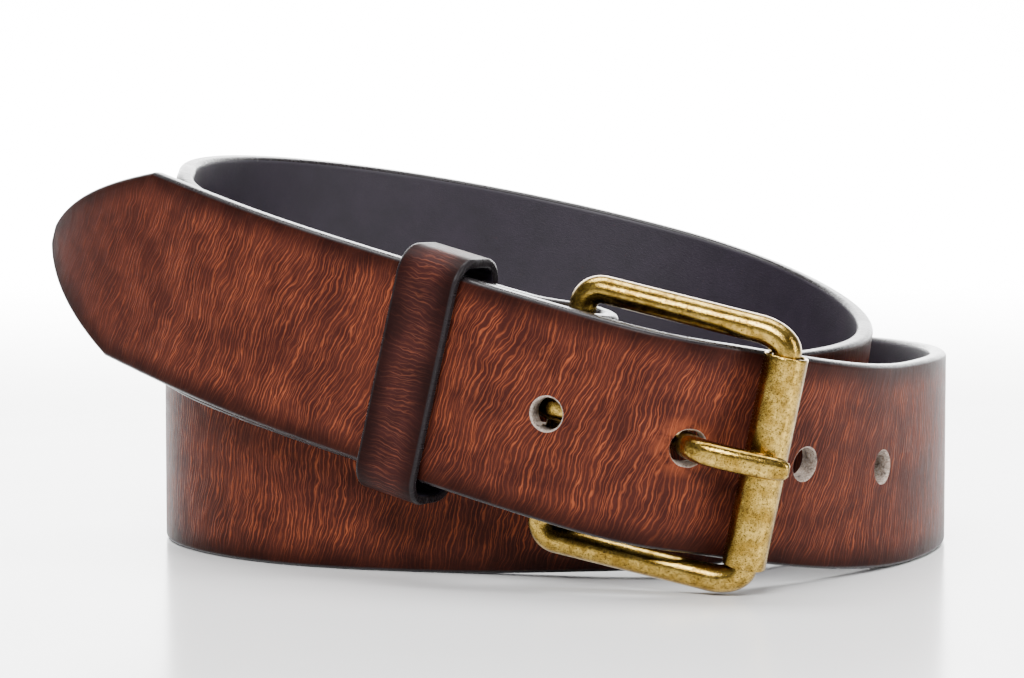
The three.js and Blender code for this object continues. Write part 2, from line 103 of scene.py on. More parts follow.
PLAN = [
    (175, 102.5), (195, 83), (210, 75), (225, 70), (240, 68), (255, 70.3),
    (262, 72.6), (269, 75.8), (278, 79.8), (287, 79.4), (305, 74.8),
    (325, 71.4), (345, 72), (368, 75), (405, 76), (450, 77), (495, 81),
    (525, 81), (540, 78.5), (555, 73), (570, 66), (585, 58.5), (600, 52.5),
    (615, 50.5), (630, 52), (645, 55.5), (660, 56.5), (690, 56.5), (720, 56.5),
    (750, 60), (765, 62.5), (810, 67.5), (855, 73), (885, 78), (900, 79),
    (915, 77), (930, 71),
]
TIP_ANGLE = PLAN[0][0]
TURN = 360
UPPER_HEIGHT = 39.5
RISE_LEFT = 0.215
RISE_BACK = 0.11
LEVEL_FROM = 285
LEVEL_TO = 335
CLIMB_FROM = 600
CLIMB_TO = 790
LAY_FROM = 903
LAY_TO = 928
HEEL_DROP = 0.75
LAY_FALL = 0.012
BUCKLE_TURN = math.radians(0.8)
HEEL_ANGLE = 265.7
MIDDLE = np.array((-13.8, -3.6, 0))

# ---- the strap's route ----


def smooth(x):
    t = np.clip(x, 0, 1)
    return t * t * (3 - 2 * t)


def natural_spline(pairs):
    xs, ys = np.array(pairs, float).T
    n = len(xs)
    gap = np.diff(xs)
    slope = np.diff(ys) / gap
    bend = np.zeros(n)
    ratio = np.zeros(n)
    for i in range(1, n - 1):
        pivot = 2 * (gap[i - 1] + gap[i]) - gap[i - 1] * ratio[i - 1]
        ratio[i] = gap[i] / pivot
        bend[i] = (6 * (slope[i] - slope[i - 1]) - gap[i - 1] * bend[i - 1]) / pivot
    for i in range(n - 2, 0, -1):
        bend[i] -= ratio[i] * bend[i + 1]

    def at(x):
        i = np.searchsorted(xs[1:-1], x)
        h = gap[i]
        a = (xs[i + 1] - x) / h
        b = 1 - a
        curve = ((a ** 3 - a) * bend[i] + (b ** 3 - b) * bend[i + 1]) * h * h / 6
        return a * ys[i] + b * ys[i + 1] + curve
    return at


radius_at = natural_spline(PLAN)


def unit(vectors):
    return vectors / np.linalg.norm(vectors, axis=-1, keepdims=True)


def upper_share(angle):
    leaving = 1 - smooth((angle - LEVEL_FROM) / (LEVEL_TO - LEVEL_FROM))
    return leaving + smooth((angle - CLIMB_FROM) / (CLIMB_TO - CLIMB_FROM))


def free_point(angle):
    turn = np.radians(angle)
    x = radius_at(angle) * np.cos(turn)
    y = radius_at(angle) * np.sin(turn)
    level = STRAP_WIDTH / 2
    plane = UPPER_HEIGHT - RISE_LEFT * x + RISE_BACK * y
    return np.stack([x, y, level + upper_share(angle) * (plane - level)], -1)


def frames_from(point_at, angle):
    """Centre p, direction t, across g (up) and grain side n (outwards) at each angle."""
    angle = np.asarray(angle, float)
    t = unit(point_at(angle + 0.2) - point_at(angle - 0.2))
    share = upper_share(angle)
    lean = np.stack([RISE_LEFT * share, -RISE_BACK * share, np.ones_like(share)], -1)
    g = unit(lean - t * np.sum(lean * t, -1, keepdims=True))
    return {"p": point_at(angle), "t": t, "g": g, "n": np.cross(t, g)}


def free_frame(angle):
    return frames_from(free_point, angle)


outer_angles = np.arange(TIP_ANGLE, TIP_ANGLE + TURN + 0.5, 0.5)
outer_steps = np.linalg.norm(np.diff(free_point(outer_angles), axis=0), axis=1)
outer_lengths = np.concatenate([[0], np.cumsum(outer_steps)])
HEEL_S = float(np.interp(HEEL_ANGLE, outer_angles, outer_lengths))


def angle_at(s):
    return np.interp(s, outer_lengths, outer_angles)


def strap_point(angle):
    angle = np.asarray(angle, float)
    share = smooth((angle - LAY_FROM) / (LAY_TO - LAY_FROM))[..., None]
    under = np.maximum(angle - 2 * TURN, TIP_ANGLE + 0.2)
    outer = free_frame(under)
    fall = HEEL_DROP + LAY_FALL * (HEEL_S - np.interp(under, outer_angles, outer_lengths))
    laid = outer["p"] - outer["n"] * (STRAP_THICK + LAYER_GAP) - outer["g"] * fall[..., None]
    return free_point(angle) * (1 - share) + laid * share


def buckle_end(back):
    """The buckle end's frame at a distance back from the heel bar."""
    return frames_from(strap_point, angle_at(HEEL_S - np.asarray(back, float)) + 2 * TURN)


heel_frame = buckle_end(0)
heel = heel_frame["p"] - heel_frame["n"] * FOLD_R


def find_front():
    angles = HEEL_ANGLE + 10 + 0.1 * np.arange(350)
    f = free_frame(angles)
    off = f["p"] + f["n"] * (STRAP_THICK / 2 + ROLLER_CLEAR + ROLLER_R) - heel
    off -= heel_frame["g"] * (off @ heel_frame["g"])[:, None]
    return off[np.argmin(np.abs(np.linalg.norm(off, axis=1) - FRAME_LENGTH))]


square_u = unit(find_front())
W = np.cross(square_u, heel_frame["g"])
U = square_u * math.cos(BUCKLE_TURN) + heel_frame["g"] * math.sin(BUCKLE_TURN)
V = np.cross(W, U)


def in_buckle(u, v, w):
    u, v, w = np.broadcast_arrays(np.asarray(u, float), v, w)
    return heel + u[..., None] * U + v[..., None] * V + w[..., None] * W


def tail_frame(back):
    """The turned-back tail's centre at each distance back from the heel bar, and its thickness."""
    back = np.asarray(back, float)
    skive = smooth((back - TAIL_SKIVE_START) / (TAIL_LENGTH - TAIL_SKIVE_START))
    thick = STRAP_THICK + (TAIL_THICK - STRAP_THICK) * skive
    closed = STRAP_THICK / 2 + LAYER_GAP + thick / 2
    apart = 2 * FOLD_R + (closed - 2 * FOLD_R) * smooth(back / TAIL_CLOSE)
    base = buckle_end(back)
    p = base["p"] - base["n"] * apart[..., None]
    return {"p": p, "t": base["t"], "g": base["g"], "n": -base["n"], "thick": thick}


# ---- meshes ----


def section(half_wide, half_thick, corner, steps, fill):
    """Rounded rectangle as rows of (across, out), with fill points along each wide side."""
    r = min(corner, half_wide * 0.9, half_thick * 0.9)
    out = []
    for c, (sx, sy) in enumerate(((1, 1), (-1, 1), (-1, -1), (1, -1))):
        for k in range(steps + 1):
            turn = (c + k / steps) * math.pi / 2
            out.append((sx * (half_wide - r) + r * math.cos(turn),
                        sy * (half_thick - r) + r * math.sin(turn)))
        if fill and c in (0, 2):
            flat = half_wide - r
            for k in range(1, fill + 1):
                # Close to each corner first, so that the flat shades flat.
                share = 0.5 - 0.5 * math.cos(math.pi * k / (fill + 1))
                out.append((sx * flat * (1 - 2 * share), sy * half_thick))
    return np.array(out)


def make_mesh(name, rings, loop=False, uvs=None, zones=None):
    """A closed body through rings of points (millimetres from the coil's middle).

    uvs holds a pair for each point by layer, and zones a material slot for each side of a ring.
    """
    rings = np.asarray(rings)
    count, sides = rings.shape[:2]
    verts = (rings.reshape(-1, 3) - MIDDLE) * MM
    last = count if loop else count - 1
    a = (np.arange(last)[:, None] * sides)
    b = ((np.arange(last) + 1) % count)[:, None] * sides
    k = np.arange(sides)[None, :]
    m = (k + 1) % sides
    quads = np.stack([a + k, a + m, b + m, b + k], -1).reshape(-1, 4)
    faces = [tuple(q) for q in quads.tolist()]
    if not loop:
        end = (count - 1) * sides
        faces.append(tuple(range(sides - 1, -1, -1)))
        faces.append(tuple(range(end, end + sides)))
    tri = (verts - verts.mean(0))[quads]
    volume = np.einsum("ij,ij->", tri[:, 0], np.cross(tri[:, 1], tri[:, 2]))
    volume += np.einsum("ij,ij->", tri[:, 0], np.cross(tri[:, 2], tri[:, 3]))
    if volume < 0:
        faces = [f[::-1] for f in faces]
    mesh = bpy.data.meshes.new(name)
    mesh.from_pydata(verts.tolist(), [], faces)
    for layer, values in (uvs or {}).items():
        corner = np.zeros(len(mesh.loops), np.int32)
        mesh.loops.foreach_get("vertex_index", corner)
        data = mesh.uv_layers.new(name=layer).data
        data.foreach_set("uv", np.asarray(values, np.float32).reshape(-1, 2)[corner].ravel())
    if zones is not None:
        index = np.zeros(len(faces), np.int32)
        index[:len(quads)] = np.tile(zones, last)
        mesh.polygons.foreach_set("material_index", index)
    mesh.polygons.foreach_set("use_smooth", np.ones(len(faces), bool))
    mesh.update()
    obj = bpy.data.objects.new(name, mesh)
    bpy.context.scene.collection.objects.link(obj)
    return obj


def punch_mesh(name, at, profile, stretch=0, sides=48):
    """A lathe-shaped cutter: [radius, distance out] rows, stretched towards the tip's side."""
    turn = np.linspace(0, 2 * np.pi, sides, endpoint=False)
    shift = np.where(np.cos(turn) < -1e-9, -stretch, 0)
    rings = []
    for r, out in profile:
        rings.append(at["p"] + np.outer(r * np.cos(turn) + shift, at["t"])
                     + np.outer(r * np.sin(turn), at["g"]) + at["n"] * out)
    cutter = make_mesh(name, rings, uvs={"lay": np.zeros((len(rings) * sides, 2)),
                                         "rim": np.zeros((len(rings) * sides, 2))})
    cutter.data.polygons.foreach_set(
        "material_index", np.full(len(cutter.data.polygons), RAW, np.int32))
    return cutter


def cut(obj, cutters):
    """Takes the cutters out of a mesh for good."""
    for cutter in cutters:
        for slot in obj.data.materials:
            cutter.data.materials.append(slot)
        step = obj.modifiers.new("cut", "BOOLEAN")
        step.operation = "DIFFERENCE"
        step.solver = "EXACT"
        step.object = cutter
    bpy.context.view_layer.update()
    depsgraph = bpy.context.evaluated_depsgraph_get()
    made = bpy.data.meshes.new_from_object(obj.evaluated_get(depsgraph))
    obj.modifiers.clear()
    old = obj.data
    obj.data = made
    bpy.data.meshes.remove(old)
    for cutter in cutters:
        mesh = cutter.data
        bpy.data.objects.remove(cutter)
        bpy.data.meshes.remove(mesh)


def soften(obj):
    step = obj.modifiers.new("normals", "WEIGHTED_NORMAL")
    step.keep_sharp = True
    step.weight = 90


# ---- materials ----


class Look:
    """A procedural material, put together node by node."""

    def __init__(self, name):
        self.material = bpy.data.materials.new(name)
        self.material.use_nodes = True
        self.tree = self.material.node_tree
        self.tree.nodes.clear()

    def add(self, kind, inputs=None, **settings):
        node = self.tree.nodes.new("ShaderNode" + kind)
        for key, value in settings.items():
            setattr(node, key, value)
        for key, value in (inputs or {}).items():
            socket = node.inputs[key]
            if isinstance(value, bpy.types.NodeSocket):
                self.tree.links.new(value, socket)
            else:
                socket.default_value = value
        return node

    def math(self, operation, *values):
        return self.add("Math", dict(enumerate(values)), operation=operation).outputs[0]

    def ease(self, value, low, high, to_low=0.0, to_high=1.0):
        inputs = {"Value": value, "From Min": low, "From Max": high,
                  "To Min": to_low, "To Max": to_high}
        made = self.add("MapRange", inputs, interpolation_type="SMOOTHSTEP")
        return made.outputs["Result"]

    def mix(self, share, a, b, blend="MIX"):
        made = self.add("Mix", data_type="RGBA", blend_type=blend)
        for index, value in ((0, share), (6, a), (7, b)):
            if isinstance(value, bpy.types.NodeSocket):
                self.tree.links.new(value, made.inputs[index])
            elif index:
                made.inputs[index].default_value = (*value, 1)
            else:
                made.inputs[index].default_value = value
        return made.outputs[2]

    def uv(self, layer):
        made = self.add("UVMap", uv_map=layer)
        parts = self.add("SeparateXYZ", {0: made.outputs["UV"]})
        return parts.outputs[0], parts.outputs[1]

    def place(self, x, y, z=0.0):
        return self.add("CombineXYZ", {0: x, 1: y, 2: z}).outputs[0]

    def noise(self, vector, scale, detail=2.0, roughness=0.5, flat=False):
        inputs = {"Vector": vector, "Scale": scale, "Detail": detail, "Roughness": roughness}
        made = self.add("TexNoise", inputs, noise_dimensions="2D" if flat else "3D")
        return made.outputs["Fac"]

    def finish(self, colour, rough, height, depth, **constants):
        """depth is the height's real size in metres."""
        bump = self.add("Bump", {"Height": height, "Strength": 1.0, "Distance": depth})
        shader = self.add("BsdfPrincipled", {
            "Base Color": colour, "Roughness": rough, "Normal": bump.outputs[0]})
        for key, value in constants.items():
            socket = shader.inputs[key.replace("_", " ")]
            if isinstance(value, bpy.types.NodeSocket):
                self.tree.links.new(value, socket)
            else:
                socket.default_value = value
        out = self.add("OutputMaterial")
        self.tree.links.new(shader.outputs[0], out.inputs[0])
        return self.material


GRAIN, BACK, RAW = 0, 1, 2
# How far the creases drift and jitter, in millimetres.
DRIFT = 6.0
JITTER = 0.9
# Width of the hand-darkened margin along every edge, and where the edge paint ends on the face.
MARGIN = 5.5
PAINT_FROM, PAINT_TO = 0.35, 0.8
PAINT = (0.012, 0.010, 0.011)
# How much of the brass the brown patina hides where it is thickest.
PATINA = 0.7


def leather_look(name, crease, length, slant, dark, mid, vein, gloss, tip_fade=None, worn=0.0):
    """Waxed pull-up leather: fine creases across the strap, paler where they break the finish.

    crease is the creases' spacing and length their reach in millimetres, slant is their lean,
    gloss is the painted edge's extra shine, tip_fade is where the creases fade towards the
    tip, and worn is how far the mouth of the prong's hole is rubbed.
    """
    look = Look(name)
    s, v = look.uv("lay")
    rim, out = look.uv("rim")
    # Creases wander: a slow drift and a quick jitter.
    flat = look.place(s, v)
    slow = look.noise(flat, 0.045, 1, flat=True)
    quick = look.noise(look.place(look.math("MULTIPLY", s, 0.22),
                                  look.math("MULTIPLY", v, 0.30)), 1.0, 1, flat=True)
    across = look.math("MULTIPLY_ADD", v, -slant, s)
    across = look.math("MULTIPLY_ADD", slow, DRIFT, across)
    across = look.math("MULTIPLY_ADD", quick, JITTER, across)

    def creases(spacing, long, wander, thin, offset):
        """Fine lines side by side, which wander, meet and part."""
        at = look.place(look.math("MULTIPLY_ADD", across, 0.45 / spacing, offset),
                        look.math("MULTIPLY", v, 1 / long))
        drift = look.noise(at, 1.0, 2.5, 0.55, flat=True)
        phase = look.math("MULTIPLY_ADD", drift, wander,
                          look.math("MULTIPLY", across, 1 / spacing))
        away = look.math("ABSOLUTE", look.math("SUBTRACT", look.math("FRACT", phase), 0.5))
        return look.ease(away, 0.0, thin, 1.0, 0.0)

    coarse = creases(crease, length, 1.7, 0.17, 0.0)
    fine = creases(crease * 0.72, length * 0.7, 1.6, 0.17, 31.7)
    patch = look.ease(look.noise(flat, 0.11, 3, 0.6, flat=True), 0.36, 0.62)
    streak = look.noise(look.place(look.math("MULTIPLY", across, 0.5),
                                   look.math("MULTIPLY", v, 0.12)), 1.0, 3, flat=True)
    alive = look.math("MULTIPLY", look.ease(streak, 0.36, 0.62, 0.35, 1.0),
                      look.math("MULTIPLY_ADD", patch, 0.35, 0.65))
    veins = look.math("MAXIMUM", coarse, look.math("MULTIPLY", fine, 0.6))
    margin = look.ease(rim, 0.8, 6.0)
    near_tip = look.ease(s, *tip_fade) if tip_fade else 1.0
    shown = look.math("MULTIPLY", look.math("MULTIPLY", veins, alive),
                      look.math("MULTIPLY", look.math("MULTIPLY_ADD", margin, 0.8, 0.2),
                                near_tip))
    mottled = look.noise(flat, 0.35, 4, 0.65, flat=True)
    tone = look.math("MULTIPLY_ADD", patch, 0.5, look.math("MULTIPLY", mottled, 0.6))
    colour = look.mix(tone, dark, mid)
    # Worn orange where the prong rubs the mouth of its hole.
    hole = look.math("SUBTRACT", s, TIP_TO_FIRST_HOLE + PRONG_HOLE * HOLE_PITCH - 1.0)
    reach = look.math("SQRT", look.math(
        "ADD", look.math("MULTIPLY", hole, hole), look.math("MULTIPLY", v, v)))
    rubbed = look.math("MULTIPLY", look.ease(reach, 3.2, 6.5, 1.0, 0.0),
                       look.ease(mottled, 0.25, 0.6))
    colour = look.mix(look.math("MULTIPLY", shown, 0.85), colour, vein)
    colour = look.mix(look.math("MULTIPLY", rubbed, worn),
                      colour, vein)
    burnish = look.math("MULTIPLY_ADD", look.ease(rim, 0.2, MARGIN), 0.62, 0.38)
    shade = look.place(burnish, burnish, burnish)
    colour = look.mix(1.0, colour, shade, "MULTIPLY")
    paint = look.math("MAXIMUM", look.ease(rim, PAINT_FROM, PAINT_TO, 1.0, 0.0),
                      look.ease(out, -0.9, -0.2, 1.0, 0.0))
    colour = look.mix(paint, colour, PAINT)
    pores = look.noise(look.place(s, look.math("MULTIPLY", v, 0.6)), 5.0, 3, 0.6, flat=True)
    height = look.math("MULTIPLY_ADD", shown, 0.9, look.math("MULTIPLY", pores, 0.35))
    height = look.math("MULTIPLY_ADD", streak, 0.8, height)
    rough = look.math("MULTIPLY_ADD", mottled, 0.14, 0.36)
    rough = look.math("MULTIPLY_ADD", shown, 0.08, rough)
    rough = look.math("MULTIPLY_ADD", paint, -0.16, rough)
    shine = look.math("MULTIPLY_ADD", paint, gloss, 0.04)
    return look.finish(colour, rough, height, 0.06 * MM, Specular_IOR_Level=shine)


def back_look(name):
    """The sealed flesh side: near black, with a faint nap."""
    look = Look(name)
    s, v = look.uv("lay")
    flat = look.place(s, v)
    cloud = look.noise(flat, 0.12, 4, 0.6, flat=True)
    nap = look.noise(look.place(look.math("MULTIPLY", s, 0.4), v), 3.0, 4, 0.7, flat=True)
    colour = look.mix(look.math("MULTIPLY_ADD", cloud, 0.7, look.math("MULTIPLY", nap, 0.3)),
                      (0.0060, 0.0044, 0.0080), (0.021, 0.0145, 0.025))
    rough = look.math("MULTIPLY_ADD", nap, 0.2, 0.42)
    return look.finish(colour, rough, nap, 0.05 * MM, Specular_IOR_Level=0.4)


def raw_look(name):
    """The cut wall of a punched hole: grey-beige fibres under a rim of dye."""
    look = Look(name)
    at = look.add("TexCoord").outputs["Object"]
    fibres = look.noise(at, 2600.0, 5, 0.75)
    clumps = look.noise(at, 900.0, 3, 0.6)
    colour = look.mix(look.ease(fibres, 0.3, 0.7), (0.16, 0.105, 0.075), (0.46, 0.40, 0.34))
    colour = look.mix(look.ease(clumps, 0.5, 0.75), colour, (0.05, 0.035, 0.03))
    return look.finish(colour, 0.85, fibres, 0.12 * MM)


def brass_look(name):
    """Antique brass: bright where handled, brown-black specks and cloudy patina elsewhere."""
    look = Look(name)
    at = look.add("TexCoord").outputs["Object"]
    cloud = look.noise(at, 380.0, 4, 0.6)
    grime = look.noise(at, 1400.0, 5, 0.7)
    speck = look.noise(at, 3800.0, 3, 0.65)
    colour = look.mix(look.ease(cloud, 0.34, 0.66), (0.25, 0.150, 0.022), (0.50, 0.335, 0.075))
    colour = look.mix(look.ease(grime, 0.46, 0.66, 0.0, PATINA), colour, (0.095, 0.055, 0.012))
    colour = look.mix(look.ease(speck, 0.52, 0.64, 0.0, 0.85), colour, (0.030, 0.020, 0.009))
    rough = look.math("MULTIPLY_ADD", grime, 0.22, 0.08)
    rough = look.math("ADD", rough, look.ease(speck, 0.58, 0.7, 0.0, 0.25))
    height = look.math("MULTIPLY_ADD", grime, -0.6, look.math("MULTIPLY", speck, -0.5))
    return look.finish(colour, rough, height, 0.05 * MM, Metallic=1.0)


grain = leather_look(
    "strap_leather", crease=1.0, length=6.5, slant=0.21, dark=(0.023, 0.0062, 0.0052),
    mid=(0.055, 0.0140, 0.0092), vein=(0.26, 0.062, 0.024), gloss=0.15,
    tip_fade=(-6.0, 66.0), worn=0.5)
keeper_grain = leather_look(
    "keeper_leather", crease=1.0, length=5.0, slant=0.1, dark=(0.015, 0.0052, 0.0048),
    mid=(0.033, 0.0100, 0.0088), vein=(0.12, 0.034, 0.018), gloss=0.04)
back = back_look("strap_back")
raw = raw_look("raw_leather")
brass = brass_look("antique_brass")

# ---- strap ----
SECTION_STEPS = 6
SECTION_FILL = 10
BODY_STEP = 0.6


def half_width_at(s):
    return np.maximum(0.8, STRAP_WIDTH / 2 * np.clip(s / TIP_LENGTH, 0, 1) ** TIP_POWER)


def strap_stations():
    """Every ring's frame, half width, half thickness, distance from the tip, skew and lean."""
    tip_s = TIP_LENGTH * np.linspace(0, 1, 80, endpoint=False) ** 1.7
    start = angle_at(TIP_LENGTH)
    end = HEEL_ANGLE + 2 * TURN
    body = np.linspace(start, end, round((end - start) / BODY_STEP) + 1)
    body_frames = frames_from(strap_point, np.concatenate([angle_at(tip_s), body]))
    turn = np.linspace(0, np.pi, 37)[1:, None]
    fold_n = heel_frame["n"] * np.cos(turn) + heel_frame["t"] * np.sin(turn)
    fold = {"p": heel + fold_n * FOLD_R, "g": np.tile(heel_frame["g"], (len(turn), 1)),
            "n": fold_n}
    backs = np.concatenate([np.linspace(0, TAIL_CLOSE, 25)[1:],
                            np.linspace(TAIL_CLOSE, TAIL_LENGTH, 49)[1:]])
    tail = tail_frame(backs)
    joined = {key: np.concatenate([body_frames[key], fold[key], tail[key]])
              for key in ("p", "g", "n")}
    steps = np.linalg.norm(np.diff(joined["p"], axis=0), axis=1)
    s = np.concatenate([[0], np.cumsum(steps)])
    count = len(body_frames["p"]) + len(turn)
    half = np.full(len(s), STRAP_WIDTH / 2)
    half[:count] = half_width_at(s[:count])
    half[count:] -= 5 * smooth((backs - TAIL_LENGTH + 8) / 8)
    thick = np.full(len(s), STRAP_THICK)
    thick[count:] = tail["thick"]
    # The nose is rounded through its thickness like the sides.
    nose = np.clip(1 - s / EDGE_ROUND, 0, 1)
    thick -= 2 * EDGE_ROUND * (1 - np.sqrt(1 - nose * nose))
    # The tip is cut a little askew.
    skew = TIP_SKEW * (1 - smooth((s - TIP_LENGTH) / TIP_SKEW_FADE))
    lean = TIP_LEAN * np.maximum(0, TIP_LENGTH - s)
    skew[count:] = 0
    joined["p"] = joined["p"] - joined["g"] * lean[:, None]
    askew = body_frames["t"] * skew[:len(body_frames["t"]), None]
    joined["g"][:len(askew)] += askew
    return joined, half, thick / 2, s, skew, lean


def make_strap():
    at, half, half_thick, s, skew, lean = strap_stations()
    tip = s < TIP_LENGTH + 6
    edges = [np.stack([s[tip] + side * skew[tip] * half[tip], side * half[tip] - lean[tip]], -1)
             for side in (1, -1)]
    outline = np.concatenate(edges)
    rings, lay, rim = [], [], []
    for i in range(len(s)):
        rows = section(half[i], half_thick[i], EDGE_ROUND, SECTION_STEPS, SECTION_FILL)
        v, m = rows[:, 0], rows[:, 1]
        rings.append(at["p"][i] + np.outer(v, at["g"][i]) + np.outer(m, at["n"][i]))
        spot = np.stack([s[i] + skew[i] * v, v - lean[i]], -1)
        to_edge = half[i] - np.abs(v)
        if s[i] < TIP_LENGTH:
            away = np.linalg.norm(spot[:, None] - outline[None], axis=-1).min(1)
            to_edge = np.minimum(to_edge, away)
        lay.append(spot)
        rim.append(np.stack([to_edge, m], -1))
    v, m = rows[:, 0], rows[:, 1]
    centre = (m + np.roll(m, -1)) / 2
    zones = np.where(centre < -half_thick[-1] + 0.12, BACK, GRAIN)
    strap = make_mesh("strap_hide", rings, uvs={"lay": lay, "rim": rim}, zones=zones)
    for look in (grain, back, raw):
        strap.data.materials.append(look)
    return strap


def hole_frame(s):
    return free_frame(float(angle_at(s)))


def tail_face(back_by):
    at = buckle_end(back_by)
    tail = tail_frame(back_by)
    return float((tail["p"] - at["p"]) @ at["n"]) - float(tail["thick"]) / 2


def slot_cutter():
    """The slot in the fold for the prong's eye, with a round end in each layer."""
    half = SLOT_HALF
    reach = FOLD_R + STRAP_THICK / 2 + LAYER_GAP / 2
    turn = np.linspace(np.pi / 2, 3 * np.pi / 2, 25)
    outline = [(-8 + half + half * math.cos(a), half * math.sin(a)) for a in turn]
    outline += [(reach, -half), (reach, half)]
    rings = [[heel + heel_frame["t"] * a + heel_frame["g"] * v + heel_frame["n"] * out
              for a, v in outline] for out in (-reach, reach)]
    zeros = np.zeros((2 * len(outline), 2))
    cutter = make_mesh("slot_cutter", rings, uvs={"lay": zeros, "rim": zeros})
    cutter.data.polygons.foreach_set(
        "material_index", np.full(len(cutter.data.polygons), RAW, np.int32))
    return cutter


strap = make_strap()
half_strap = STRAP_THICK / 2
cutters = [slot_cutter()]
for k in range(HOLE_COUNT):
    worn = k == PRONG_HOLE
    deep = -half_strap - (2 if worn else LAYER_GAP / 2)
    r = (PRONG_HOLE_DIA if worn else HOLE_DIA) / 2
    # The mouth is pressed in by the punch, so it flares.
    flare = ((0, -0.55), (0.06, -0.3), (0.2, -0.1), (0.42, 0.02), (0.6, 0.12))
    profile = [(r, deep)] + [(r + wider, half_strap + out) for wider, out in flare]
    cutters.append(punch_mesh(f"hole_{k}", hole_frame(TIP_TO_FIRST_HOLE + HOLE_PITCH * k),
                              profile, PRONG_HOLE_STRETCH if worn else 0))
for back_by in RIVET_BACK:
    at = buckle_end(back_by)
    r = RIVET_HEAD_DIA / 2 + FIT
    cutters.append(punch_mesh("sink", at, [(r, half_strap - RIVET_SINK), (r, half_strap + 0.17)]))
    r = RIVET_POST_DIA / 2 + FIT
    cutters.append(punch_mesh("post", at, [(r, tail_face(back_by) - 1.5), (r, half_strap)]))
cut(strap, cutters)
soften(strap)
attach(strap, "strap")
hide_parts("strap")

# ---- keeper ----


def make_keeper():
    base = free_frame(float(angle_at(HEEL_S - KEEPER_BACK)))
    base["p"] = base["p"] - base["g"] * KEEPER_DROP
    tail = tail_frame(KEEPER_BACK)
    half = KEEPER_THICK / 2
    out = STRAP_THICK / 2 + KEEPER_PLAY + half
    depth = float((tail["p"] - base["p"]) @ base["n"]) - float(tail["thick"]) / 2
    inner = depth - KEEPER_PLAY - half
    middle = (out + inner) / 2
    half_n = (out - inner) / 2
    half_v = STRAP_WIDTH / 2 + KEEPER_STAND + half
    flat_v = half_v - KEEPER_BEND
    flat_n = half_n - KEEPER_BEND
    line = []
    # Once round, from the butt joint in the middle of the inner side.
    steps = 14
    seam = 0.12
    line += [(v, -half_n, -90) for v in np.linspace(seam, flat_v, 12, endpoint=False)]
    for c, (sv, sn) in enumerate(((1, -1), (1, 1), (-1, 1), (-1, -1))):
        for k in range(steps + 1):
            turn = math.radians(-90 + 90 * (c + k / steps))
            line.append((sv * flat_v + KEEPER_BEND * math.cos(turn),
                         sn * flat_n + KEEPER_BEND * math.sin(turn), math.degrees(turn)))
        if c == 1:
            line += [(v, half_n, 90) for v in np.linspace(flat_v, -flat_v, 22)[1:-1]]
    line += [(v, -half_n, 270) for v in np.linspace(-flat_v, -seam, 12)[1:]]
    rows = section(KEEPER_WIDTH / 2, half, 0.6, 5, 6)
    a, m = rows[:, 0], rows[:, 1]
    rings, lay, rim = [], [], []
    run = 0
    previous = None
    for v, n, degrees in line:
        turn = math.radians(degrees)
        normal = base["g"] * math.cos(turn) + base["n"] * math.sin(turn)
        p = base["p"] + base["g"] * v + base["n"] * (middle + n)
        if previous is not None:
            run += float(np.linalg.norm(p - previous))
        previous = p
        rings.append(p + np.outer(a, base["t"]) + np.outer(m, normal))
        lay.append(np.stack([np.full(len(a), run), a], -1))
        rim.append(np.stack([KEEPER_WIDTH / 2 - np.abs(a), m * 1.3 + 0.4], -1))
    centre = (m + np.roll(m, -1)) / 2
    zones = np.where(centre < -half + 0.12, BACK, GRAIN)
    keeper = make_mesh("keeper_band", rings, uvs={"lay": lay, "rim": rim}, zones=zones)
    for look in (keeper_grain, back):
        keeper.data.materials.append(look)
    return keeper


keeper = make_keeper()
soften(keeper)
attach(keeper, "keeper")
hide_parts("keeper")

# ---- buckle ----


def sweep(name, line, radius, sides, body, node):
    """A round wire on a closed line of the buckle's own plane."""
    line = np.array(line)
    along = unit(np.roll(line, -1, axis=0) - np.roll(line, 1, axis=0))
    turn = np.linspace(0, 2 * np.pi, sides, endpoint=False)
    side = radius * np.cos(turn)
    rings = in_buckle(line[:, :1] + along[:, 1:] * side, line[:, 1:] - along[:, :1] * side,
                      radius * np.sin(turn)[None, :])
    obj = make_mesh(name, rings, loop=True)
    obj.data.materials.append(brass)
    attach(obj, body)
    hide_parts(node)
    return obj


def frame_outline():
    line = []
    heel_v = HEEL_HALF - HEEL_CORNER
    front_v = FRONT_HALF - FRONT_CORNER
    front_u = FRAME_LENGTH - FRONT_SWEEP
    corners = ((front_u, -front_v, FRONT_SWEEP, FRONT_CORNER),
               (front_u, front_v, FRONT_SWEEP, FRONT_CORNER),
               (HEEL_CORNER, heel_v, HEEL_CORNER, HEEL_CORNER),
               (HEEL_CORNER, -heel_v, HEEL_CORNER, HEEL_CORNER))
    for c, (cu, cv, ru, rv) in enumerate(corners):
        for k in range(25):
            turn = (c - 1 + k / 24) * math.pi / 2
            line.append((cu + ru * math.cos(turn), cv + rv * math.sin(turn)))
    filled = []
    for i, (u, v) in enumerate(line):
        u1, v1 = line[(i + 1) % len(line)]
        pieces = max(1, round(math.hypot(u1 - u, v1 - v) / 3))
        filled += [(u + (u1 - u) * k / pieces, v + (v1 - v) * k / pieces) for k in range(pieces)]
    return filled


sweep("buckle_wire", frame_outline(), WIRE_R, 40, "buckle_frame", "buckle_frame")


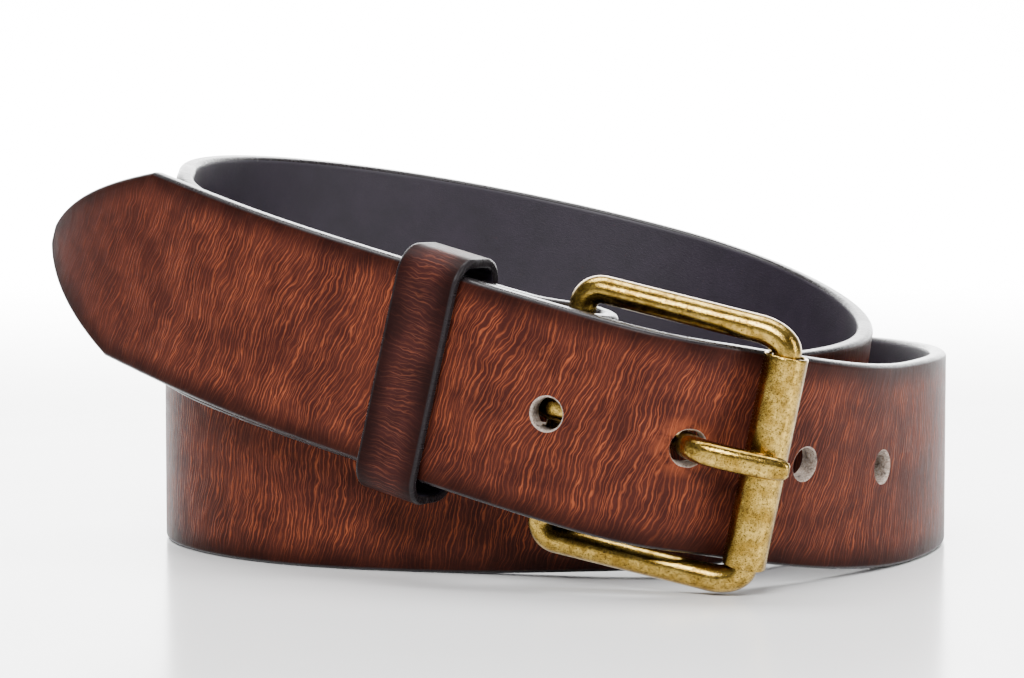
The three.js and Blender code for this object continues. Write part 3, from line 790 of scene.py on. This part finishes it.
def make_roller():
    """A strip rolled into a tube, its ends meeting along a fine seam."""
    half = ROLLER_LENGTH / 2
    inner = ROLLER_R - ROLLER_WALL
    lip = 0.35
    profile = [(inner, v) for v in np.linspace(half - 0.2, -half + 0.2, 9)]
    for sign in (-1, 1):
        arc = []
        for k in range(7):
            turn = math.pi * k / 6
            arc.append((ROLLER_R - lip - lip * math.cos(turn),
                        sign * (half - lip + lip * math.sin(turn))))
        profile += arc if sign < 0 else arc[::-1]
        if sign < 0:
            profile += [(ROLLER_R, v) for v in np.linspace(-half + 1, half - 1, 9)]
    turns = np.linspace(0, 2 * np.pi, 96, endpoint=False)
    seam_at = math.radians(215)
    away = np.abs(np.angle(np.exp(1j * (turns - seam_at))))
    sunk = 0.28 * (1 - smooth(away / math.radians(5)))
    rings = []
    for turn, low in zip(turns, sunk):
        r = np.array([row[0] - (low if row[0] > inner + 0.1 else 0) for row in profile])
        v = np.array([row[1] for row in profile])
        rings.append(in_buckle(FRAME_LENGTH + r * math.cos(turn), v, r * math.sin(turn)))
    obj = make_mesh("roller_tube", rings, loop=True)
    obj.data.materials.append(brass)
    soften(obj)
    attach(obj, "roller")
    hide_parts("roller")


make_roller()


def catmull(points, steps):
    """The uniform Catmull-Rom curve through the points, evenly spaced along its length."""
    # The first and last points count twice, so that the curve reaches both ends.
    pts = np.array([points[0], *points, points[-1]], float)
    fine = []
    for i in range(1, len(pts) - 2):
        p0, p1, p2, p3 = pts[i - 1], pts[i], pts[i + 1], pts[i + 2]
        for t in np.linspace(0, 1, 60, endpoint=False):
            v0, v1 = (p2 - p0) / 2, (p3 - p1) / 2
            fine.append((2 * p1 - 2 * p2 + v0 + v1) * t ** 3
                        + (-3 * p1 + 3 * p2 - 2 * v0 - v1) * t ** 2 + v0 * t + p1)
    fine = np.array(fine + [pts[-1]])
    run = np.concatenate([[0], np.cumsum(np.linalg.norm(np.diff(fine, axis=0), axis=1))])
    want = np.linspace(0, run[-1], steps + 1)
    return np.stack([np.interp(want, run, fine[:, k]) for k in (0, 1)], -1)


def make_prong():
    turn = np.linspace(EYE_START, EYE_END, 61)
    eye = np.stack([EYE_R * np.cos(turn), EYE_R * np.sin(turn)], -1)
    shank = catmull(SHANK, 120)[1:]
    line = np.concatenate([eye, shank])
    count = len(line)
    before = line[np.maximum(0, np.arange(count) - 2)]
    after = line[np.minimum(count - 1, np.arange(count) + 2)]
    along = unit(after - before)
    share = smooth((np.arange(count) - 60) / 36)
    run_out = (count - 1 - np.arange(count)) / 14
    end = np.sqrt(1 - np.clip(1 - run_out, 0, 1) ** 2)
    thick = (EYE_THICK + (PRONG_THICK - EYE_THICK) * share) * (0.45 + 0.55 * end)
    wide = PRONG_WIDTH * (0.5 + 0.5 * end)
    rings = []
    for i in range(count):
        rows = section(wide[i] / 2, thick[i] / 2, thick[i] * 0.42, 8, 3)
        v, m = rows[:, 0], rows[:, 1]
        # The eye is domed across.
        m = m * (1 - 0.3 * (1 - share[i]) * (v / (wide[i] / 2)) ** 2)
        high = PRONG_HIGH + PRONG_LEAN * (SHANK[5][0] - line[i, 0])
        rings.append(in_buckle(line[i, 0] - along[i, 1] * m, high + v,
                               line[i, 1] + along[i, 0] * m))
    obj = make_mesh("prong_bar", rings)
    obj.data.materials.append(brass)
    soften(obj)
    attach(obj, "prong")
    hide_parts("prong")


make_prong()

# ---- rivets and staple ----


def turned(name, at, profile, sides=48):
    turn = np.linspace(0, 2 * np.pi, sides, endpoint=False)
    rings = [at["p"] + np.outer(r * np.cos(turn), at["t"]) + np.outer(r * np.sin(turn), at["g"])
             + at["n"] * out for r, out in profile]
    return make_mesh(name, rings)


for i, back_by in enumerate(RIVET_BACK, 1):
    at = buckle_end(back_by)
    face = tail_face(back_by) - FIT
    r = RIVET_CAP_DIA / 2
    profile = [(r - 0.25, face), (r, face - 0.12), (r, face - RIVET_CAP_RIM)]
    for k in range(1, 13):
        turn = math.pi / 2 * k / 12
        profile.append((r * math.cos(turn) + 0.05,
                        face - RIVET_CAP_RIM - (RIVET_CAP_HIGH - RIVET_CAP_RIM) * math.sin(turn)))
    cap = turned(f"rivet_{i}_dome", at, profile)
    cap.data.materials.append(brass)
    soften(cap)
    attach(cap, "strap")
    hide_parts(f"rivet_{i}_cap")
for name in ("rivet_1_post", "rivet_2_post", "keeper_staple"):
    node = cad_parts[name]
    node.data.materials.clear()
    node.data.materials.append(brass)

# ---- floor, light, camera ----
SWEEP_FROM = 1.0
SWEEP_R = 1.2
FLOOR_HALF = 4
FLOOR_TOP = 2.2
WORLD_STRENGTH = 0.28


def make_floor():
    """A pale sweep: flat under the belt, curving up behind it."""
    line = [(-FLOOR_HALF, 0.0), (-1.0, 0.0), (SWEEP_FROM, 0.0)]
    line += [(SWEEP_FROM + SWEEP_R * math.sin(a), SWEEP_R - SWEEP_R * math.cos(a))
             for a in np.linspace(0, math.pi / 2, 24)[1:]]
    line += [(SWEEP_FROM + SWEEP_R, FLOOR_TOP)]
    verts = [(x, y, z) for y, z in line for x in (-FLOOR_HALF, FLOOR_HALF)]
    faces = [(2 * i, 2 * i + 1, 2 * i + 3, 2 * i + 2) for i in range(len(line) - 1)]
    mesh = bpy.data.meshes.new("floor")
    mesh.from_pydata(verts, [], faces)
    mesh.polygons.foreach_set("use_smooth", [True] * len(faces))
    floor = bpy.data.objects.new("floor", mesh)
    bpy.context.scene.collection.objects.link(floor)
    look = Look("floor_white")
    at = look.add("TexCoord").outputs["Object"]
    haze = look.noise(at, 30.0, 2)
    rough = look.math("MULTIPLY_ADD", haze, 0.04, 0.16)
    colour = look.mix(haze, (0.93, 0.93, 0.93), (0.95, 0.95, 0.95))
    mesh.materials.append(look.finish(colour, rough, haze, 0.001 * MM, Specular_IOR_Level=0.35))


make_floor()


def area_light(name, place, target, size, power):
    data = bpy.data.lights.new(name, "AREA")
    data.shape = "RECTANGLE"
    data.size, data.size_y = size
    data.energy = power
    light = bpy.data.objects.new(name, data)
    bpy.context.scene.collection.objects.link(light)
    light.location = place
    light.rotation_euler = (Vector(target) - Vector(place)).to_track_quat("-Z", "Y").to_euler()


area_light("key", (-0.14, -0.78, 0.60), (0, 0, 0.03), (0.4, 0.3), 15)
area_light("top", (0.0, 0.05, 0.80), (0, 0.02, 0.03), (0.9, 0.35), 13)
area_light("side", (0.75, -0.40, 0.30), (0, 0, 0.04), (0.06, 0.5), 5)
area_light("sweep", (0.0, 0.80, 0.90), (0, 2.0, 0.25), (1.6, 0.4), 300)

world = bpy.data.worlds.new("studio")
bpy.context.scene.world = world
world.use_nodes = True
background = world.node_tree.nodes["Background"]
background.inputs["Color"].default_value = (1, 1, 1, 1)
background.inputs["Strength"].default_value = WORLD_STRENGTH

CAMERA_AT = (0.00073, -0.6045, 0.0823)
CAMERA_PITCH = math.radians(3.96)
CAMERA_YAW = math.radians(0.19)
camera_data = bpy.data.cameras.new("camera")
camera_data.sensor_width = 36
camera_data.lens = 107.3
camera_data.clip_start = 0.01
camera = bpy.data.objects.new("camera", camera_data)
bpy.context.scene.collection.objects.link(camera)
camera.location = CAMERA_AT
camera.rotation_euler = (math.pi / 2 - CAMERA_PITCH, 0, -CAMERA_YAW)
bpy.context.scene.camera = camera
